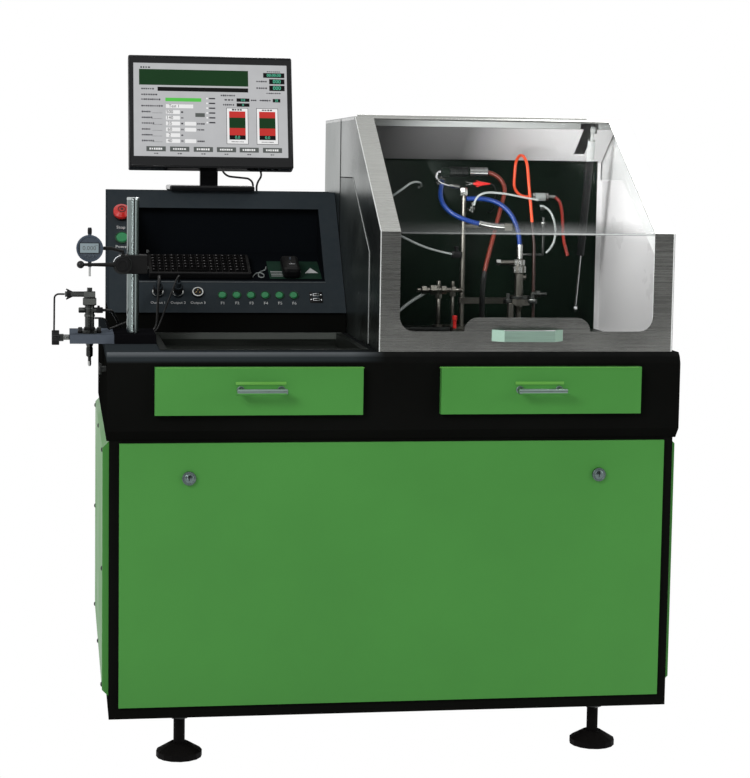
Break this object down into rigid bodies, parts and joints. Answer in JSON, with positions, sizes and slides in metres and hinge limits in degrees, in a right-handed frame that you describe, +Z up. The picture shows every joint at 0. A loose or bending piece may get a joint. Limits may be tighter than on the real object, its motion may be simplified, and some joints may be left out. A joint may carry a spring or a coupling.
{
  "type": "injector test bench",
  "caption": "Fuel injector test bench: cabinet on levelling feet, two drawers, drip tray, sloping control console with tilting monitor, side jig with dial indicator, hooded test chamber.",
  "frame": {"origin": "on the floor under the middle of the whole bench", "axes": "+Z up, +X to the operator's right, +Y from the operator's side to the back"},
  "size_m": [1.3184, 0.9014, 1.4932],
  "materials": {
    "dark_paint": "satin dark grey powder coat",
    "green_paint": "satin light green powder coat",
    "grey_paint": "fine-textured blue-grey powder coat",
    "black_paint": "satin black",
    "black_plastic": "moulded black plastic",
    "screen_glass": "lit display panel",
    "clear_pane": "clear acrylic, bent along one crease",
    "red_plastic": "gloss red",
    "green_plastic": "gloss green",
    "brushed_steel": "brushed stainless steel",
    "chrome": "polished",
    "alloy": "machined alloy",
    "tank_plastic": "moulded tank, filled",
    "blue_rubber": "blue hose",
    "brown_rubber": "brown hose",
    "orange_rubber": "orange hose",
    "black_rubber": "black sheath",
    "black_rubber_pad": "black pad"
  },
  "bodies": {
    "bench": {"back_panel": "dark_paint", "base_frame": "dark_paint", "bench_injector": "brushed_steel", "chamber_walls": "grey_paint", "console_housing": "grey_paint", "console_plinth": "black_paint", "drip_tray": "brushed_steel", "drive_motor": "dark_paint", "fuel_tank": "tank_plastic", "high_pressure_pump": "alloy", "hood_rear_housing": "brushed_steel", "hose_blue_front": "blue_rubber", "hose_blue_rear": "blue_rubber", "hose_brown": "brown_rubber", "hose_orange": "orange_rubber", "injector_stand": "brushed_steel", "jig_plate": "brushed_steel", "keyboard": "black_plastic", "monitor_cable": "black_rubber", "monitor_power_cable": "black_rubber", "monitor_stand": "black_plastic", "mouse": "black_plastic", "return_wire": "black_rubber", "side_panel_left": "green_paint", "side_panel_right": "green_paint", "test_injector": "brushed_steel", "test_lead_thick": "black_rubber", "test_lead_thin": "black_rubber", "worktop": "dark_paint"},
    "front_cover": {"front_panel": "green_paint"},
    "cover_lock_left": {"panel_lock_left": "chrome"},
    "cover_lock_right": {"panel_lock_right": "chrome"},
    "left_drawer": {"drawer_left": "green_paint"},
    "right_drawer": {"drawer_right": "green_paint"},
    "tray_knob": {"side_knob": "black_plastic"},
    "leveller_front_left": {"foot_front_left": "black_rubber_pad"},
    "leveller_front_right": {"foot_front_right": "black_rubber_pad"},
    "leveller_rear_left": {"foot_rear_left": "black_rubber_pad"},
    "leveller_rear_right": {"foot_rear_right": "black_rubber_pad"},
    "estop": {"estop_button": "red_plastic"},
    "power": {"power_button": "green_plastic"},
    "display": {"monitor_housing": "black_plastic", "monitor_screen": "screen_glass"},
    "post_slider": {"post_clamp": "black_paint", "dial_indicator": "black_plastic"},
    "slider_lever": {"clamp_lever": "black_plastic"},
    "probe": {"indicator_spindle": "brushed_steel"},
    "plate_screw": {"jig_clamp_screw": "black_paint"},
    "hood": {"hood_door": "brushed_steel", "door_window": "clear_pane", "door_handle": "alloy"},
    "gas_strut_rod": {"strut_rod": "chrome"},
    "gas_strut_cylinder": {"strut_cylinder": "black_paint"},
    "drive_shaft": {"drive_coupling": "brushed_steel"},
    "key_1": {"function_button_1": "green_plastic"},
    "key_2": {"function_button_2": "green_plastic"},
    "key_3": {"function_button_3": "green_plastic"},
    "key_4": {"function_button_4": "green_plastic"},
    "key_5": {"function_button_5": "green_plastic"},
    "key_6": {"function_button_6": "green_plastic"}
  },
  "joints": [
    {"name": "front_cover_hinge", "type": "hinge", "parent": "bench", "child": "front_cover", "pos_m": [0.05185, -0.38565, 0.117], "axis": [1, 0, 0], "range_deg": [0, 30]},
    {"name": "cover_lock_left_turn", "type": "hinge", "parent": "front_cover", "child": "cover_lock_left", "pos_m": [-0.38015, -0.37935, 0.595], "axis": [0, -1, 0], "range_deg": [0, 90]},
    {"name": "cover_lock_right_turn", "type": "hinge", "parent": "front_cover", "child": "cover_lock_right", "pos_m": [0.48385, -0.37935, 0.595], "axis": [0, 1, 0], "range_deg": [0, 90]},
    {"name": "left_drawer_slide", "type": "slide", "parent": "bench", "child": "left_drawer", "axis": [0, -1, 0], "range_m": [0, 0.33]},
    {"name": "right_drawer_slide", "type": "slide", "parent": "bench", "child": "right_drawer", "axis": [0, -1, 0], "range_m": [0, 0.33]},
    {"name": "tray_knob_turn", "type": "hinge", "parent": "bench", "child": "tray_knob", "pos_m": [-0.54815, -0.34935, 0.817], "axis": [-1, 0, 0], "continuous": true},
    {"name": "leveller_front_left_screw", "type": "slide", "parent": "bench", "child": "leveller_front_left", "axis": [0, 0, -1], "range_m": [0, 0.025]},
    {"name": "leveller_front_right_screw", "type": "slide", "parent": "bench", "child": "leveller_front_right", "axis": [0, 0, -1], "range_m": [0, 0.025]},
    {"name": "leveller_rear_left_screw", "type": "slide", "parent": "bench", "child": "leveller_rear_left", "axis": [0, 0, -1], "range_m": [0, 0.025]},
    {"name": "leveller_rear_right_screw", "type": "slide", "parent": "bench", "child": "leveller_rear_right", "axis": [0, 0, -1], "range_m": [0, 0.025]},
    {"name": "estop_press", "type": "slide", "parent": "bench", "child": "estop", "axis": [0, 0.7828, -0.6223], "range_m": [0, 0.005], "stiffness_N_per_m": 1200, "springref_m": -0.002},
    {"name": "power_press", "type": "slide", "parent": "bench", "child": "power", "axis": [0, 0.7828, -0.6223], "range_m": [0, 0.003], "stiffness_N_per_m": 800, "springref_m": -0.002},
    {"name": "key_1_press", "type": "slide", "parent": "bench", "child": "key_1", "axis": [0, 0.7828, -0.6223], "range_m": [0, 0.002], "stiffness_N_per_m": 600, "springref_m": -0.002},
    {"name": "key_2_press", "type": "slide", "parent": "bench", "child": "key_2", "axis": [0, 0.7828, -0.6223], "range_m": [0, 0.002], "stiffness_N_per_m": 600, "springref_m": -0.002},
    {"name": "key_3_press", "type": "slide", "parent": "bench", "child": "key_3", "axis": [0, 0.7828, -0.6223], "range_m": [0, 0.002], "stiffness_N_per_m": 600, "springref_m": -0.002},
    {"name": "key_4_press", "type": "slide", "parent": "bench", "child": "key_4", "axis": [0, 0.7828, -0.6223], "range_m": [0, 0.002], "stiffness_N_per_m": 600, "springref_m": -0.002},
    {"name": "key_5_press", "type": "slide", "parent": "bench", "child": "key_5", "axis": [0, 0.7828, -0.6223], "range_m": [0, 0.002], "stiffness_N_per_m": 600, "springref_m": -0.002},
    {"name": "key_6_press", "type": "slide", "parent": "bench", "child": "key_6", "axis": [0, 0.7828, -0.6223], "range_m": [0, 0.002], "stiffness_N_per_m": 600, "springref_m": -0.002},
    {"name": "display_tilt", "type": "hinge", "parent": "bench", "child": "display", "pos_m": [-0.28515, 0.37722, 1.34543], "axis": [1, 0, 0], "range_deg": [-10, 12]},
    {"name": "post_slide", "type": "slide", "parent": "bench", "child": "post_slider", "axis": [0, 0, 1], "range_m": [-0.02, 0.06]},
    {"name": "lever_turn", "type": "hinge", "parent": "post_slider", "child": "slider_lever", "pos_m": [-0.51075, -0.18465, 1.0213], "axis": [0, 1, 0], "range_deg": [-70, 45]},
    {"name": "probe_slide", "type": "slide", "parent": "post_slider", "child": "probe", "axis": [0, 0, 1], "range_m": [0, 0.01], "stiffness_N_per_m": 60, "springref_m": -0.008},
    {"name": "plate_screw_turn", "type": "hinge", "parent": "bench", "child": "plate_screw", "pos_m": [-0.62115, -0.16235, 0.8638], "axis": [-1, 0, 0], "continuous": true},
    {"name": "hood_hinge", "type": "hinge", "parent": "bench", "child": "hood", "pos_m": [0.05185, 0.1905, 1.352], "axis": [-1, 0, 0], "range_deg": [0, 70]},
    {"name": "strut_swing", "type": "hinge", "parent": "bench", "child": "gas_strut_rod", "pos_m": [0.56985, 0.14065, 0.905], "axis": [-1, 0, 0], "range_deg": [0, 12.3]},
    {"name": "strut_extend", "type": "slide", "parent": "gas_strut_rod", "child": "gas_strut_cylinder", "axis": [0, -0.2641, 0.9645], "range_m": [0, 0.16]},
    {"name": "drive_turn", "type": "hinge", "parent": "bench", "child": "drive_shaft", "pos_m": [0.03185, 0.02065, 0.2073], "axis": [1, 0, 0], "continuous": true}
  ],
  "couplings": [
    {"joint": "strut_swing", "follows": "hood_hinge", "ratio": 0.17474},
    {"joint": "strut_extend", "follows": "hood_hinge", "m_per_rad": 0.12938}
  ]
}
